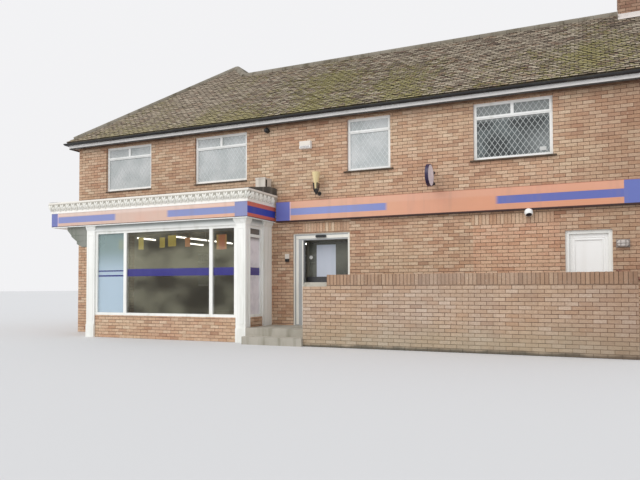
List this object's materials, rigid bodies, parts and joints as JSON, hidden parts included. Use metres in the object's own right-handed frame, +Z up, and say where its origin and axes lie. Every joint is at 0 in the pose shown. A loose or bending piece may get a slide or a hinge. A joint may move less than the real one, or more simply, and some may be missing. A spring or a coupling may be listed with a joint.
{
  "type": "corner shop building",
  "caption": "Brick corner shop with a hipped wing, a long tiled range, a projecting shopfront under a moulded canopy, and doors on a raised landing behind a low wall.",
  "frame": {"origin": "centre of the plan's bounding box, at pavement level", "axes": "+X to the right along the shop front, -Y out of the shop front, +Z up"},
  "size_m": [15.161, 10.496, 9.3412],
  "materials": {
    "wall_brick": "rough fired brick",
    "screen_brick": "rough weathered brick",
    "roof_tile": "weathered plain tiles",
    "ridge_tile": "weathered",
    "sill_tile": "matt",
    "chimney_pot_clay": "matt",
    "concrete": "rough",
    "sill_stone": "rubbed",
    "floor_timber": "dull",
    "white_plastic": "satin",
    "white_joinery": "painted, slightly soiled",
    "door_white": "painted gloss",
    "clear_glass": "clear",
    "leaded_glass": "leaded",
    "door_metal": "powder coated",
    "door_dark": "satin",
    "sign_orange": "faded satin",
    "sign_blue": "faded satin",
    "gutter_black": "dusty gloss",
    "deck_felt": "rough",
    "planter_cream": "satin",
    "fitting_white": "satin",
    "fitting_black": "matt",
    "lamp_metal": "satin",
    "handrail_brown": "worn gloss",
    "bracket_grey": "painted, faded",
    "lead_flashing": "dull lead"
  },
  "bodies": {
    "building": {"attic_floor": "floor_timber", "back_window_frames": "white_plastic", "back_window_glass": "leaded_glass", "bay_base": "wall_brick", "bay_beam": "white_joinery", "bay_frames": "white_joinery", "bay_glass": "clear_glass", "bay_pilasters": "white_joinery", "bulkhead_light": "fitting_white", "canopy_boards": "white_joinery", "canopy_bracket": "bracket_grey", "canopy_deck": "deck_felt", "canopy_sign": "sign_orange", "chimney_pots": "chimney_pot_clay", "chimney_stack": "wall_brick", "cornice": "white_joinery", "dome_camera": "fitting_black", "door_lintels": "wall_brick", "door_operator": "door_metal", "door_sensor": "fitting_black", "entrance_frame": "door_metal", "fascia_boards": "white_plastic", "first_floor": "floor_timber", "front_wall_left": "wall_brick", "front_wall_middle": "wall_brick", "front_wall_right": "wall_brick", "front_wall_upper": "wall_brick", "ground_floor": "concrete", "handrail": "handrail_brown", "landing": "concrete", "left_wall": "wall_brick", "party_wall": "wall_brick", "plant_box": "planter_cream", "projecting_sign": "sign_blue", "rainwater_pipes": "gutter_black", "range_back_wall": "wall_brick", "ridge_tiles": "ridge_tile", "roof_slopes": "roof_tile", "screen_coping": "screen_brick", "screen_end_coping": "concrete", "screen_wall": "screen_brick", "side_door_frame": "white_joinery", "siren_box": "fitting_white", "stone_sills": "sill_stone", "tile_sills": "sill_tile", "wall_lamp": "lamp_metal", "wall_sign": "sign_orange", "window_frame_1": "white_plastic", "window_frame_2": "white_plastic", "window_frame_3": "white_plastic", "window_frame_4": "white_plastic", "window_glass_1": "leaded_glass", "window_glass_2": "leaded_glass", "window_glass_3": "leaded_glass", "window_glass_4": "leaded_glass", "wing_back_wall": "wall_brick", "wing_right_wall": "wall_brick"},
    "sliding_door": {"entrance_door": "door_dark", "entrance_door_glass": "clear_glass"},
    "side_door_leaf": {"side_door": "door_white"}
  },
  "joints": [
    {"name": "entrance_slide", "type": "slide", "parent": "building", "child": "sliding_door", "axis": [1, 0, 0], "range_m": [0, 1.08]},
    {"name": "side_door_hinge", "type": "hinge", "parent": "building", "child": "side_door_leaf", "pos_m": [5.7045, -3.52689, 0.34], "axis": [0, 0, 1], "range_deg": [0, 95]}
  ]
}
